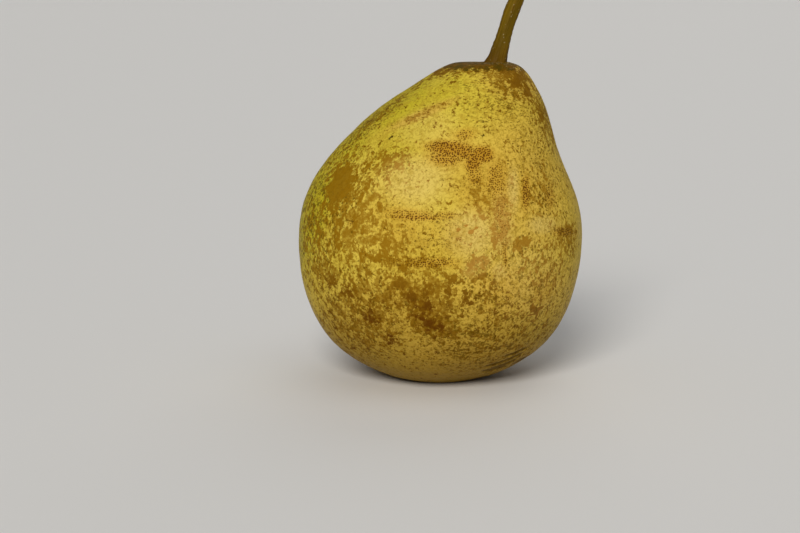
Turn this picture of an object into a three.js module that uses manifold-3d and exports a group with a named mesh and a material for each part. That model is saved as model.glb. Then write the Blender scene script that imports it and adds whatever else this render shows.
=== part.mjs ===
// A ripe dessert pear, standing on its blossom end.
//
// Millimetres, +Z up, front towards -Y. The origin lies on the surface that the pear stands on,
// under the middle of its outline seen from above. The neck leans towards +X.
//
// It has three bodies: the fruit, whose skin and flesh grew as one; the woody stem, rooted in a
// pit in the crown; and the dried calyx, rooted in a pit in the basin under the fruit.
import * as THREE from "three";
import { mergeVertices } from "three/addons/utils/BufferGeometryUtils.js";
import Module from "manifold-3d";

const wasm = await Module();
wasm.setup();

// The gap between a rooted piece and its pit, how far a pit's cutter stands out of the skin,
// and how close two vertices are to be one.
const ROOT_GAP = 0.3;
const PIT_MOUTH_HEIGHT = 4;
const SAME_VERTEX = 1e-4;

// The fruit's half outline: a radius and a height at each place where its curve changes.
const FOOT_INNER_RADIUS = 9.6;
const FOOT_OUTER_RADIUS = 11.6;
const BELLY_RADIUS = 37.5;
const BELLY_HEIGHT = 35.9;
const FLANK_RADIUS = 29.6;
const FLANK_HEIGHT = 60.1;
const SHOULDER_RADIUS = 9.3;
const SHOULDER_HEIGHT = 82.4;
const CROWN_RADIUS = 5.5;
const CROWN_HEIGHT = 82.8;
const BASIN_DEPTH = 6;
const CAVITY_DEPTH = 0.7;

// How far each curve reaches along its tangent at either end, as lengths or [outwards, upwards].
const BASIN_FLOOR_REACH = 5.2;
const BASIN_LIP_REACH = 3;
const FOOT_REACH = [19.1, 6.1];
const BELLY_REACH_DOWN = 16.5;
const BELLY_REACH_UP = 9.7;
const FLANK_STEEPNESS = THREE.MathUtils.degToRad(58.6);
const FLANK_REACH_DOWN = 10.7;
const FLANK_REACH_UP = 6.8;
const SHOULDER_REACH_OUT = [9.8, -5.8];
const SHOULDER_REACH_IN = [-1.6, 1];
const CROWN_REACH = 2.2;

// The neck leans: above LEAN_START the axis tends to LEAN_SLOPE sideways for each unit of height,
// and it turns into that line over about LEAN_SOFTNESS.
const LEAN_SLOPE = 0.51;
const LEAN_START = 60.5;
const LEAN_SOFTNESS = 7.9;

// The section is a little flatter front to back, with three faint lobes round the belly, five
// ribs that fade in towards the basin, and small puckers inside it.
const FLATTENING = 0.03;
const LOBE_COUNT = 3;
const LOBE_SHARE = 0.007;
const RIB_COUNT = 5;
const RIB_SHARE = 0.016;
const RIB_FADE_HEIGHT = 16;
const PUCKER_COUNT = 10;
const PUCKER_DEPTH = 0.28;

const FRUIT_SIDES = 64;
const FRUIT_STEPS = { basin: 9, foot: 1, belly: 14, side: 9, neck: 12, shoulder: 3, cavity: 5 };

// The stem: where it leaves the crown, how it leans, and its thickness along its length.
const STEM_X = 14.45;
const STEM_LENGTH = 29;
const STEM_ROOT_LENGTH = 3.4;
const STEM_LEAN_AT_ROOT = THREE.MathUtils.degToRad(14.5);
const STEM_LEAN_AT_TIP = THREE.MathUtils.degToRad(25);
const STEM_BACKWARD = 1.6;
const STEM_BACKWARD_LATE = 0.4;
const STEM_RADIUS = 1.82;
const STEM_FLARE = 1.1;
const STEM_FLARE_LENGTH = 5;
const STEM_COLLAR = 0.55;
const STEM_COLLAR_LENGTH = 1.6;
const STEM_ROOT_RADIUS = 2.7;
const STEM_KNOB = 0.8;
const STEM_KNOB_LENGTH = 8;
const STEM_KNOB_POWER = 1.6;
const STEM_END_ROUNDING = 0.82;
const STEM_RIDGES = 5;
const STEM_RIDGE_SHARE = 0.05;
const STEM_RIDGE_TWIST = 1.1;
const STEM_SIDES = 30;
const STEM_STEPS = 26;

// The calyx hangs in the basin, opening downwards: a short cup with five sepals and dry stamens.
const CALYX_ROOT_RADIUS = 2.1;
const CALYX_ROOT_LENGTH = 2.6;
const CUP_RADIUS = 2.9;
const CUP_WALL = 0.9;
const CUP_RIM_Z = 3.6;
const CUP_FLOOR_Z = 4.5;
const CUP_TOP_Z = 5.3;
const CUP_SIDES = 25;
const CUP_FLOOR_SHARE = 0.7;
const SEPAL_COUNT = 5;
const SEPAL_HALF_WIDTH = 1.75;
const SEPAL_TIP_SHARE = 0.2;
const SEPAL_HALF_THICKNESS = 0.36;
const SEPAL_END_ROUNDING = 0.7;
const SEPAL_TURN_SPREAD = 0.25;
const SEPAL_REACH = [0.94, 1.04];
const SEPAL_ROOT = [2.1, 4.3];
const SEPAL_BEND = [4.7, 3.9];
const SEPAL_TIP = [6.3, 1.0];
const SEPAL_SIDES = 12;
const SEPAL_STEPS = 10;
const STAMEN_COUNT = 9;
const STAMEN_SIDES = 6;
const STAMEN_TIP_RADIUS = 0.32;
const STAMEN_FOOT_RADIUS = 0.4;
const STAMEN_FOOT_SINK = 0.4;
const STAMEN_LENGTH = [1.8, 2.5];
const STAMEN_RING_RADIUS = 0.7;
const STAMEN_TILT_DEGREES = 24;
const CALYX_SEED = 5;

const MATERIALS = {
  skin: new THREE.MeshStandardMaterial({ color: 0xb39a3c, roughness: 0.55, metalness: 0 }),
  wood: new THREE.MeshStandardMaterial({ color: 0x5a4620, roughness: 0.75, metalness: 0 }),
  driedSepal: new THREE.MeshStandardMaterial({ color: 0x33241a, roughness: 0.9, metalness: 0 }),
};

// A seeded stream of numbers from 0 to 1, the same on every run.
function randomStream(seed) {
  let state = seed;
  return () => {
    state = (Math.imul(state, 1664525) + 1013904223) >>> 0;
    return state / 2 ** 32;
  };
}

function solidFrom(geometry) {
  const bare = geometry.clone();
  bare.deleteAttribute("normal");
  bare.deleteAttribute("uv");
  const merged = mergeVertices(bare, SAME_VERTEX);
  const vertProperties = merged.attributes.position.array;
  const triVerts = new Uint32Array(merged.index.array);
  return new wasm.Manifold(new wasm.Mesh({ numProp: 3, vertProperties, triVerts }));
}

function geometryFrom(solid) {
  const mesh = solid.getMesh();
  const geometry = new THREE.BufferGeometry();
  geometry.setAttribute("position", new THREE.BufferAttribute(mesh.vertProperties, 3));
  geometry.setIndex(new THREE.BufferAttribute(mesh.triVerts, 1));
  geometry.computeVertexNormals();
  return geometry;
}

// The sideways place of the fruit's axis at a height, 0 at the belly.
function axisLean(height) {
  const bend = (h) => {
    const above = h - LEAN_START;
    return (LEAN_SLOPE * (above + Math.hypot(above, LEAN_SOFTNESS))) / 2;
  };
  return bend(height) - bend(BELLY_HEIGHT);
}

// The fruit's half outline, from the middle of the basin round to the middle of the stem cavity.
function fruitProfile() {
  const [footOut, footUp] = FOOT_REACH;
  const [outwards, down] = SHOULDER_REACH_OUT;
  const [inwards, up] = SHOULDER_REACH_IN;
  const flankIn = Math.cos(FLANK_STEEPNESS);
  const flankUp = Math.sin(FLANK_STEEPNESS);
  const outline = new THREE.Path();
  outline.moveTo(0, BASIN_DEPTH);
  outline.bezierCurveTo(
    BASIN_FLOOR_REACH, BASIN_DEPTH,
    FOOT_INNER_RADIUS - BASIN_LIP_REACH, 0,
    FOOT_INNER_RADIUS, 0,
  );
  outline.lineTo(FOOT_OUTER_RADIUS, 0);
  outline.bezierCurveTo(
    FOOT_OUTER_RADIUS + footOut, footUp,
    BELLY_RADIUS, BELLY_HEIGHT - BELLY_REACH_DOWN,
    BELLY_RADIUS, BELLY_HEIGHT,
  );
  outline.bezierCurveTo(
    BELLY_RADIUS, BELLY_HEIGHT + BELLY_REACH_UP,
    FLANK_RADIUS + FLANK_REACH_DOWN * flankIn, FLANK_HEIGHT - FLANK_REACH_DOWN * flankUp,
    FLANK_RADIUS, FLANK_HEIGHT,
  );
  outline.bezierCurveTo(
    FLANK_RADIUS - FLANK_REACH_UP * flankIn, FLANK_HEIGHT + FLANK_REACH_UP * flankUp,
    SHOULDER_RADIUS + outwards, SHOULDER_HEIGHT + down,
    SHOULDER_RADIUS, SHOULDER_HEIGHT,
  );
  outline.bezierCurveTo(
    SHOULDER_RADIUS + inwards, SHOULDER_HEIGHT + up,
    CROWN_RADIUS + CROWN_REACH, CROWN_HEIGHT,
    CROWN_RADIUS, CROWN_HEIGHT,
  );
  outline.bezierCurveTo(
    CROWN_RADIUS / 2, CROWN_HEIGHT,
    CROWN_RADIUS / 2, CROWN_HEIGHT - CAVITY_DEPTH,
    0, CROWN_HEIGHT - CAVITY_DEPTH,
  );
  const steps = Object.values(FRUIT_STEPS);
  return outline.curves.flatMap((curve, i) => curve.getPoints(steps[i]).slice(i === 0 ? 0 : 1));
}

// Turns the round lathe into the grown shape: lobes, ribs, puckers, and the leaning neck.
function growFruit(geometry) {
  const position = geometry.attributes.position;
  const quarterTurn = Math.PI / 2;
  for (let i = 0; i < position.count; i++) {
    const angle = Math.atan2(position.getY(i), position.getX(i));
    const radius = Math.hypot(position.getX(i), position.getY(i));
    let height = position.getZ(i);
    const belly = Math.exp(-(((height - BELLY_HEIGHT) / BELLY_HEIGHT) ** 2) * 2);
    const low = Math.exp(-((height / RIB_FADE_HEIGHT) ** 2));
    const lobes = LOBE_SHARE * belly * Math.cos(LOBE_COUNT * angle + quarterTurn);
    const ribs = RIB_SHARE * low * Math.cos(RIB_COUNT * angle + quarterTurn);
    const grown = radius * (1 + lobes + ribs);
    let sideways = axisLean(height);
    if (radius < FOOT_INNER_RADIUS && height <= BASIN_DEPTH) {
      const share = (2 * radius) / FOOT_INNER_RADIUS - 1;
      height += PUCKER_DEPTH * Math.max(0, 1 - share ** 2) ** 2 * Math.cos(PUCKER_COUNT * angle);
    }
    if (radius < CROWN_RADIUS && height > BELLY_HEIGHT) {
      sideways += (STEM_X - sideways) * (1 - radius / CROWN_RADIUS);
    }
    const x = sideways + grown * Math.cos(angle);
    const y = grown * (1 - FLATTENING) * Math.sin(angle);
    position.setXYZ(i, x, y, height);
  }
}

function fruitSolid() {
  const geometry = new THREE.LatheGeometry(fruitProfile(), FRUIT_SIDES);
  geometry.rotateX(Math.PI / 2);
  growFruit(geometry);
  return solidFrom(geometry).subtract(stemRoot(ROOT_GAP)).subtract(calyxRoot(ROOT_GAP));
}

// A solid whose section follows a curve. Each station is a place along the curve and the
// section's size there, 0 at both ends. `outline` gives the section's offset across and
// through, at an angle round it and a distance along; `sideways` fixes which way is across.
function sweep(curve, sideways, sides, stations, outline) {
  const profile = stations.map(([along, size]) => new THREE.Vector2(size, along));
  const geometry = new THREE.LatheGeometry(profile, sides);
  const position = geometry.attributes.position;
  for (let i = 0; i < position.count; i++) {
    const angle = Math.atan2(position.getZ(i), position.getX(i));
    const size = Math.hypot(position.getX(i), position.getZ(i));
    const along = position.getY(i);
    const tangent = curve.getTangentAt(along);
    const through = new THREE.Vector3().crossVectors(sideways, tangent).normalize();
    const across = new THREE.Vector3().crossVectors(tangent, through);
    const [a, b] = outline(angle, along);
    const point = curve.getPointAt(along);
    point.addScaledVector(across, a * size).addScaledVector(through, b * size);
    position.setXYZ(i, point.x, point.y, point.z);
  }
  return geometry;
}

// Even stations, with closed ends narrowed to a share of the full size.
function stationsFor(steps, endShare) {
  const stations = [[0, 0]];
  for (let i = 0; i <= steps; i++) {
    stations.push([i / steps, i === 0 || i === steps ? endShare : 1]);
  }
  stations.push([1, 0]);
  return stations;
}

// The stem's centreline from the bottom of its root: it leaves the crown nearly upright and
// leans further as it rises.
function stemCentreline() {
  const surface = new THREE.Vector3(STEM_X, 0, CROWN_HEIGHT - CAVITY_DEPTH);
  const direction = (lean) => new THREE.Vector3(Math.sin(lean), 0, Math.cos(lean));
  const root = surface.clone().addScaledVector(direction(STEM_LEAN_AT_ROOT), -STEM_ROOT_LENGTH);
  const third = STEM_LENGTH / 3;
  const lower = surface.clone().addScaledVector(direction(STEM_LEAN_AT_ROOT), third);
  const middleLean = (STEM_LEAN_AT_ROOT + STEM_LEAN_AT_TIP) / 2;
  const upper = lower.clone().addScaledVector(direction(middleLean), third);
  const tip = upper.clone().addScaledVector(direction(STEM_LEAN_AT_TIP), third);
  upper.y = STEM_BACKWARD * STEM_BACKWARD_LATE;
  tip.y = STEM_BACKWARD;
  return new THREE.CatmullRomCurve3([root, surface, lower, upper, tip]);
}

// The stem's radius at a distance above the crown: a collar and a flare at its foot, and a
// knob where it parted from the twig.
function stemRadius(above) {
  if (above < 0) return STEM_ROOT_RADIUS;
  const flare = STEM_FLARE * Math.exp(-above / STEM_FLARE_LENGTH);
  const collar = STEM_COLLAR * Math.exp(-((above / STEM_COLLAR_LENGTH) ** 2));
  const toTip = THREE.MathUtils.clamp(1 - (STEM_LENGTH - above) / STEM_KNOB_LENGTH, 0, 1);
  return STEM_RADIUS + flare + collar + STEM_KNOB * toTip ** STEM_KNOB_POWER;
}

function stemSolid() {
  const outline = (angle, along) => {
    const above = along * (STEM_LENGTH + STEM_ROOT_LENGTH) - STEM_ROOT_LENGTH;
    const ridges = Math.cos(STEM_RIDGES * angle + STEM_RIDGE_TWIST * along * Math.PI);
    const radius = stemRadius(above) * (1 + STEM_RIDGE_SHARE * ridges);
    return [radius * Math.cos(angle), radius * Math.sin(angle)];
  };
  const stations = stationsFor(STEM_STEPS, STEM_END_ROUNDING);
  const sideways = new THREE.Vector3(0, 1, 0);
  return solidFrom(sweep(stemCentreline(), sideways, STEM_SIDES, stations, outline));
}

// The space that the stem's root needs in the crown, `gap` wider than its ridges all round.
function stemRoot(gap) {
  const height = STEM_ROOT_LENGTH + gap;
  const ridged = 1 + STEM_RIDGE_SHARE;
  const mouthRadius = (STEM_RADIUS + STEM_FLARE + STEM_COLLAR) * ridged + gap;
  const floorRadius = STEM_ROOT_RADIUS * ridged + gap;
  const root = new THREE.CylinderGeometry(mouthRadius, floorRadius, height, STEM_SIDES);
  root.translate(0, -height / 2, 0);
  root.rotateX(Math.PI / 2);
  const mouth = new THREE.CylinderGeometry(mouthRadius, mouthRadius, PIT_MOUTH_HEIGHT, STEM_SIDES);
  mouth.rotateX(Math.PI / 2);
  mouth.translate(0, 0, PIT_MOUTH_HEIGHT / 2 - SAME_VERTEX);
  const degrees = THREE.MathUtils.radToDeg(STEM_LEAN_AT_ROOT);
  const pit = solidFrom(root).add(solidFrom(mouth)).rotate([0, degrees, 0]);
  return pit.translate([STEM_X, 0, CROWN_HEIGHT - CAVITY_DEPTH]);
}

// The calyx's root, or with a gap the pit that it stands in.
function calyxRoot(gap) {
  const radius = CALYX_ROOT_RADIUS + gap;
  const height = CALYX_ROOT_LENGTH + gap;
  const root = new THREE.CylinderGeometry(radius, radius, height, CUP_SIDES);
  root.rotateX(Math.PI / 2);
  root.translate(0, 0, CUP_TOP_Z + height / 2 - SAME_VERTEX);
  return solidFrom(root);
}

function calyxCup() {
  const inner = CUP_RADIUS - CUP_WALL;
  const wall = [
    [0, CUP_FLOOR_Z],
    [inner * CUP_FLOOR_SHARE, CUP_FLOOR_Z],
    [inner, CUP_RIM_Z],
    [CUP_RADIUS, CUP_RIM_Z],
    [CUP_RADIUS, CUP_FLOOR_Z],
    [CALYX_ROOT_RADIUS, CUP_TOP_Z],
    [0, CUP_TOP_Z],
  ];
  const profile = wall.map(([radius, height]) => new THREE.Vector2(radius, height));
  const cup = new THREE.LatheGeometry(profile, CUP_SIDES);
  cup.rotateX(Math.PI / 2);
  return solidFrom(cup);
}

// One sepal: a pointed blade that leaves the cup's rim, spreads in the basin and curls down.
function sepalSolid(turn, reach) {
  const points = [SEPAL_ROOT, SEPAL_BEND, SEPAL_TIP].map(
    ([radius, height]) =>
      new THREE.Vector3(radius * reach * Math.cos(turn), radius * reach * Math.sin(turn), height),
  );
  const curve = new THREE.QuadraticBezierCurve3(...points);
  const sideways = new THREE.Vector3(-Math.sin(turn), Math.cos(turn), 0);
  const outline = (angle, along) => {
    const width = SEPAL_HALF_WIDTH * Math.max(SEPAL_TIP_SHARE, 1 - along ** 2);
    return [width * Math.cos(angle), SEPAL_HALF_THICKNESS * Math.sin(angle)];
  };
  const stations = stationsFor(SEPAL_STEPS, SEPAL_END_ROUNDING);
  return solidFrom(sweep(curve, sideways, SEPAL_SIDES, stations, outline));
}

// One dry stamen: a thin rod from the cup's floor, tilted further the nearer it is to the rim.
// `spread` is its place from the middle, 0, to the outermost ring, 1.
function stamenSolid(turn, spread, length) {
  const rod = new THREE.CylinderGeometry(STAMEN_FOOT_RADIUS, STAMEN_TIP_RADIUS, length, STAMEN_SIDES);
  rod.rotateX(Math.PI / 2);
  rod.translate(0, 0, -length / 2);
  const away = spread * STAMEN_RING_RADIUS;
  const tilted = solidFrom(rod).rotate([0, -spread * STAMEN_TILT_DEGREES, 0]);
  return tilted
    .translate([away, 0, CUP_FLOOR_Z + STAMEN_FOOT_SINK])
    .rotate([0, 0, THREE.MathUtils.radToDeg(turn)]);
}

function calyxSolid() {
  const random = randomStream(CALYX_SEED);
  const between = ([low, high]) => low + (high - low) * random();
  const goldenTurn = Math.PI * (3 - Math.sqrt(5));
  let calyx = calyxCup().add(calyxRoot(0));
  for (let i = 0; i < SEPAL_COUNT; i++) {
    const turn = ((i + SEPAL_TURN_SPREAD * (random() - 0.5)) * 2 * Math.PI) / SEPAL_COUNT;
    calyx = calyx.add(sepalSolid(turn, between(SEPAL_REACH)));
  }
  for (let i = 0; i < STAMEN_COUNT; i++) {
    const spread = Math.sqrt((i + 0.5) / STAMEN_COUNT);
    calyx = calyx.add(stamenSolid(i * goldenTurn, spread, between(STAMEN_LENGTH)));
  }
  return calyx;
}

function namedMesh(name, solid, material) {
  const mesh = new THREE.Mesh(geometryFrom(solid), material);
  mesh.name = name;
  return mesh;
}

const pear = new THREE.Group();
pear.add(
  namedMesh("fruit", fruitSolid(), MATERIALS.skin),
  namedMesh("stem", stemSolid(), MATERIALS.wood),
  namedMesh("calyx", calyxSolid(), MATERIALS.driedSepal),
);

// The lobes shift the outline a little, so the whole is set back over the origin.
const box = new THREE.Box3().setFromObject(pear);
pear.position.set(-(box.min.x + box.max.x) / 2, -(box.min.y + box.max.y) / 2, 0);

export default pear;
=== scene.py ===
"""A ripe dessert pear on a pale floor, seen as in the reference photograph.

Sizes are named in millimetres, in the row's frame: +Z up, front towards -Y, the origin on the
surface under the pear. MM turns them into Blender's metres. Three pieces stand for the three CAD
nodes: the fruit's skin, the stem's bark and the dried calyx. Each is a fine mesh on the same
outline as its node, with lumps, folds, ridges and cracks as geometry and a layered material.
"""

import math

import bpy
import numpy as np
from mathutils import Matrix, Vector


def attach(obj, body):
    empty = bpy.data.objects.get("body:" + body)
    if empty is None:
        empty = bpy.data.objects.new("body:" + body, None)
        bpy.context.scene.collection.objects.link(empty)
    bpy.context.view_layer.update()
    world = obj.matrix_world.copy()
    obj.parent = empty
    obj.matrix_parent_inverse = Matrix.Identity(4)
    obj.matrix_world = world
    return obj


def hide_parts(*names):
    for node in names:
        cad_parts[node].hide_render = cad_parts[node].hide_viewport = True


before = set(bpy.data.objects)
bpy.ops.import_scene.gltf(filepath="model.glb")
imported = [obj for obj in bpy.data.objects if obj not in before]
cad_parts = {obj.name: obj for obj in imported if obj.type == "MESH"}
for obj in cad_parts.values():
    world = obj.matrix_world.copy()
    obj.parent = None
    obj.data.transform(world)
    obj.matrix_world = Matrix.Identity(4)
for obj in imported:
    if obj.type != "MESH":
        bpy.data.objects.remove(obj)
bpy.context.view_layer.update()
MM = 0.001

# The photograph's view. Its pixels are those of an 800 by 533 picture.
PHOTO_WIDTH_PX = 800
PHOTO_CENTRE_PX = np.array([400.0, 266.5])
ORIGIN_PX = np.array([439.35, 373.0])
LENS_MM = 85
SENSOR_MM = 36
ELEVATION = math.radians(10)
MM_PER_PX = 0.2695
FOCAL_PX = PHOTO_WIDTH_PX * LENS_MM / SENSOR_MM
DISTANCE = FOCAL_PX * MM_PER_PX

RIGHT = np.array([1.0, 0.0, 0.0])
FORWARD = np.array([0.0, math.cos(ELEVATION), -math.sin(ELEVATION)])
UPWARD = np.array([0.0, math.sin(ELEVATION), math.cos(ELEVATION)])
ORIGIN_SHIFT = (ORIGIN_PX - PHOTO_CENTRE_PX) * MM_PER_PX
EYE = -(FORWARD * DISTANCE + RIGHT * ORIGIN_SHIFT[0] - UPWARD * ORIGIN_SHIFT[1])


def photo_pixels(points):
    """Where points, in millimetres, fall in the photograph."""
    away = points - EYE
    depth = away @ FORWARD
    across = PHOTO_CENTRE_PX[0] + FOCAL_PX * (away @ RIGHT) / depth
    down = PHOTO_CENTRE_PX[1] - FOCAL_PX * (away @ UPWARD) / depth
    return np.stack([across, down], -1)


def add_object(name, data):
    added = bpy.data.objects.new(name, data)
    bpy.context.scene.collection.objects.link(added)
    return added


def make_camera():
    data = bpy.data.cameras.new("camera")
    data.lens = LENS_MM
    data.sensor_width = SENSOR_MM
    data.clip_start = 0.01
    data.clip_end = 50
    camera = add_object("camera", data)
    turn = Matrix((RIGHT, UPWARD, -FORWARD)).transposed().to_4x4()
    camera.matrix_world = Matrix.Translation(Vector(EYE * MM)) @ turn
    bpy.context.scene.camera = camera


# Shared tools for making meshes.

def smooth_step(low, high, values):
    t = np.clip((values - low) / (high - low), 0, 1)
    return t * t * (3 - 2 * t)


def unit(vectors):
    return vectors / np.maximum(np.linalg.norm(vectors, axis=-1, keepdims=True), 1e-12)


def bezier(points, steps):
    p = np.array(points, float)
    t = np.linspace(0, 1, steps)[:, None]
    s = 1 - t
    return s**3 * p[0] + 3 * s**2 * t * p[1] + 3 * s * t**2 * p[2] + t**3 * p[3]


def even_steps(line, count):
    """The line's points again, `count` of them evenly along it, with their distances along it."""
    lengths = np.linalg.norm(np.diff(line, axis=0), axis=1)
    along = np.concatenate([[0], np.cumsum(lengths)])
    even = np.linspace(0, along[-1], count)
    columns = [np.interp(even, along, line[:, k]) for k in range(line.shape[1])]
    return np.stack(columns, -1), even


def waves(points, wavelength, seed, count=14):
    """A smooth seeded field from about -1 to 1: waves of one length in many directions."""
    draw = np.random.default_rng(seed)
    directions = unit(draw.normal(size=(count, 3)))
    lengths = wavelength * draw.uniform(0.75, 1.4, count)
    phases = draw.uniform(0, 2 * math.pi, count)
    total = np.zeros(points.shape[:-1])
    for direction, length, phase in zip(directions, lengths, phases):
        total += np.sin(points @ direction * (2 * math.pi / length) + phase)
    return total / math.sqrt(count)


def grid_normals(grid):
    """Outward normals of a grid of points[ring, side], closed round its sides."""
    along = np.gradient(grid, axis=0)
    round_ = np.roll(grid, -1, axis=1) - np.roll(grid, 1, axis=1)
    return unit(np.cross(round_, along))


def grid_faces(rings, sides):
    """The faces' corners, with a fan at either end, and each corner's place in the bake map."""
    ring, side = np.meshgrid(np.arange(rings - 1), np.arange(sides), indexing="ij")
    ring = np.stack([ring, ring, ring + 1, ring + 1], -1).reshape(-1, 4)
    side = np.stack([side, side + 1, side + 1, side], -1).reshape(-1, 4)
    quads = ring * sides + side % sides
    quad_uv = np.stack([side / sides, (ring + 1) / (rings + 1)], -1)
    edge = np.arange(sides)
    after = edge + 1
    start, end = np.full(sides, rings * sides), np.full(sides, rings * sides + 1)
    top = (rings - 1) * sides
    fans = np.concatenate([
        np.stack([start, after % sides, edge], -1),
        np.stack([end, top + edge, top + after % sides], -1),
    ])
    across = np.concatenate([
        np.stack([edge + 0.5, after, edge], -1),
        np.stack([edge + 0.5, edge, after], -1),
    ])
    up = np.repeat([(0, 1, 1), (rings + 1, rings, rings)], sides, axis=0)
    fan_uv = np.stack([across / sides, up / (rings + 1)], -1)
    uv = np.concatenate([quad_uv.reshape(-1, 2), fan_uv.reshape(-1, 2)])
    return quads.tolist() + fans.tolist(), uv


def grid_object(name, grid, material, ends=None):
    """A mesh from points[ring, side], and its bake UV map. It is closed by a point at either
    end: the given one, or the middle of the end ring."""
    if ends is None:
        ends = [grid[0].mean(0), grid[-1].mean(0)]
    points = np.concatenate([grid.reshape(-1, 3), ends]) * MM
    faces, uv = grid_faces(*grid.shape[:2])
    mesh = bpy.data.meshes.new(name)
    mesh.from_pydata(points.tolist(), [], faces)
    layer = mesh.uv_layers.new(name="OFBake")
    layer.data.foreach_set("uv", uv.astype(np.float32).ravel())
    mesh.shade_smooth()
    mesh.materials.append(material)
    return add_object(name, mesh)


def give_values(piece, name, grid_values, start_value, end_value):
    """Stores a number or a vector on each vertex of a grid_object, for its material to read."""
    values = np.asarray(grid_values, np.float32)
    kind, field = ("FLOAT", "value") if values.ndim == 2 else ("FLOAT_VECTOR", "vector")
    flat = np.concatenate([values.reshape(-1, *values.shape[2:]), [start_value, end_value]])
    layer = piece.data.attributes.new(name, kind, "POINT")
    layer.data.foreach_set(field, flat.astype(np.float32).ravel())


def seat(piece, node):
    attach(piece, "root")
    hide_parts(node)


# Shared tools for making materials.

class Tree:
    """A material's node tree, with a short method for each kind of node that it uses."""

    def __init__(self, name):
        self.material = bpy.data.materials.new(name)
        self.material.use_nodes = True
        self.tree = self.material.node_tree
        self.shader = self.tree.nodes["Principled BSDF"]

    def put(self, value, socket):
        if isinstance(value, bpy.types.NodeSocket):
            self.tree.links.new(value, socket)
        else:
            socket.default_value = value

    def node(self, kind, inputs, **settings):
        """A new node with those settings, and with its inputs set or linked, by number or name."""
        node = self.tree.nodes.new("ShaderNode" + kind)
        for name, value in settings.items():
            setattr(node, name, value)
        for key, value in inputs.items():
            self.put(value, node.inputs[key])
        return node

    def maths(self, operation, *values):
        return self.node("Math", dict(enumerate(values)), operation=operation).outputs[0]

    def add(self, a, b):
        return self.maths("ADD", a, b)

    def times(self, a, b):
        return self.maths("MULTIPLY", a, b)

    def times_add(self, a, b, c):
        """a times b, plus c."""
        return self.maths("MULTIPLY_ADD", a, b, c)

    def without(self, a, b):
        """a where b is 0, and nothing where b is 1."""
        return self.times(a, self.maths("SUBTRACT", 1.0, b))

    def either(self, a, b):
        return self.maths("MAXIMUM", a, b)

    def step(self, value, low, high, start=0.0, end=1.0):
        """A smooth step from start to end as value goes from low to high."""
        inputs = dict(enumerate((value, low, high, start, end)))
        return self.node("MapRange", inputs, interpolation_type="SMOOTHSTEP").outputs[0]

    def mix(self, share, a, b, strength=None):
        """Colour a, turning into colour b as share, times the strength, goes from 0 to 1."""
        if strength is not None:
            share = self.times(share, strength)
        return self.node("Mix", {0: share, 6: a, 7: b}, data_type="RGBA").outputs[2]

    def value(self, name):
        return self.node("Attribute", {}, attribute_name=name).outputs["Fac"]

    def vector(self, name):
        return self.node("Attribute", {}, attribute_name=name).outputs["Vector"]

    def place_mm(self):
        """The place on the object, in millimetres."""
        return self.squeezed(self.node("TexCoord", {}).outputs["Object"], (1 / MM,) * 3)

    def noise(self, vector, size, detail=3.0, roughness=0.5):
        """Soft noise from 0 to 1 whose largest clouds are about `size` across."""
        inputs = {"Vector": vector, "Scale": 1 / size, "Detail": detail, "Roughness": roughness}
        return self.node("TexNoise", inputs).outputs[0]

    def squeezed(self, vector, shares):
        """The vector with its parts scaled, so that a pattern on it stretches the other way."""
        return self.node("VectorMath", {0: vector, 1: shares}, operation="MULTIPLY").outputs[0]

    def jostled(self, vector, size, reach):
        """The vector, moved about by noise of that size by up to about `reach`."""
        cloud = self.node("TexNoise", {"Vector": vector, "Scale": 1 / size}).outputs[1]
        inputs = {0: cloud, 1: (2 * reach,) * 3, 2: vector}
        return self.node("VectorMath", inputs, operation="MULTIPLY_ADD").outputs[0]

    def cells(self, vector, size, feature="F1", randomness=1.0, flat=False):
        """Voronoi cells of that size: the distance, in cells, and a random number for each."""
        inputs = {"Vector": vector, "Scale": 1 / size, "Randomness": randomness}
        dimensions = "2D" if flat else "3D"
        node = self.node("TexVoronoi", inputs, feature=feature, voronoi_dimensions=dimensions)
        if feature == "DISTANCE_TO_EDGE":
            return node.outputs["Distance"], None
        split = self.node("SeparateColor", {0: node.outputs["Color"]})
        return node.outputs["Distance"], split.outputs[0]

    def dots(self, vector, size, radius, density, edge=0.1, randomness=1.0, flat=False):
        """Round dots, one to a cell at most, of a radius in cells. `density` is the share of the
        cells that have a dot of full size."""
        distance, chance = self.cells(vector, size, randomness=randomness, flat=flat)
        short = self.either(self.maths("SUBTRACT", chance, density), 0.0)
        reach = self.times_add(short, -2.0, radius)
        inside = self.maths("SUBTRACT", reach, distance)
        return self.step(inside, -edge / 2, edge / 2)

    def finish(self, colour, roughness, specular, height_mm=None):
        """Fills in the shader, with a bump where there is a height, and gives the material."""
        inputs = self.shader.inputs
        self.put(colour, inputs["Base Color"])
        self.put(roughness, inputs["Roughness"])
        self.put(specular, inputs["Specular IOR Level"])
        if height_mm is not None:
            bump = self.node("Bump", {"Distance": MM, "Height": height_mm})
            self.put(bump.outputs[0], inputs["Normal"])
        return self.material


# The fruit's outline, with the CAD source's values.
FOOT_INNER_RADIUS = 9.6
FOOT_OUTER_RADIUS = 11.6
BELLY_RADIUS = 37.5
BELLY_HEIGHT = 35.9
FLANK_RADIUS = 29.6
FLANK_HEIGHT = 60.1
SHOULDER_RADIUS = 9.3
SHOULDER_HEIGHT = 82.4
CROWN_RADIUS = 5.5
CROWN_HEIGHT = 82.8
BASIN_DEPTH = 6
CAVITY_DEPTH = 0.7
BASIN_FLOOR_REACH = 5.2
BASIN_LIP_REACH = 3
FOOT_REACH = (19.1, 6.1)
BELLY_REACH_DOWN = 16.5
BELLY_REACH_UP = 9.7
FLANK_STEEPNESS = math.radians(58.6)
FLANK_REACH_DOWN = 10.7
FLANK_REACH_UP = 6.8
SHOULDER_REACH_OUT = (9.8, -5.8)
SHOULDER_REACH_IN = (-1.6, 1)
CROWN_REACH = 2.2
LEAN_SLOPE = 0.51
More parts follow.
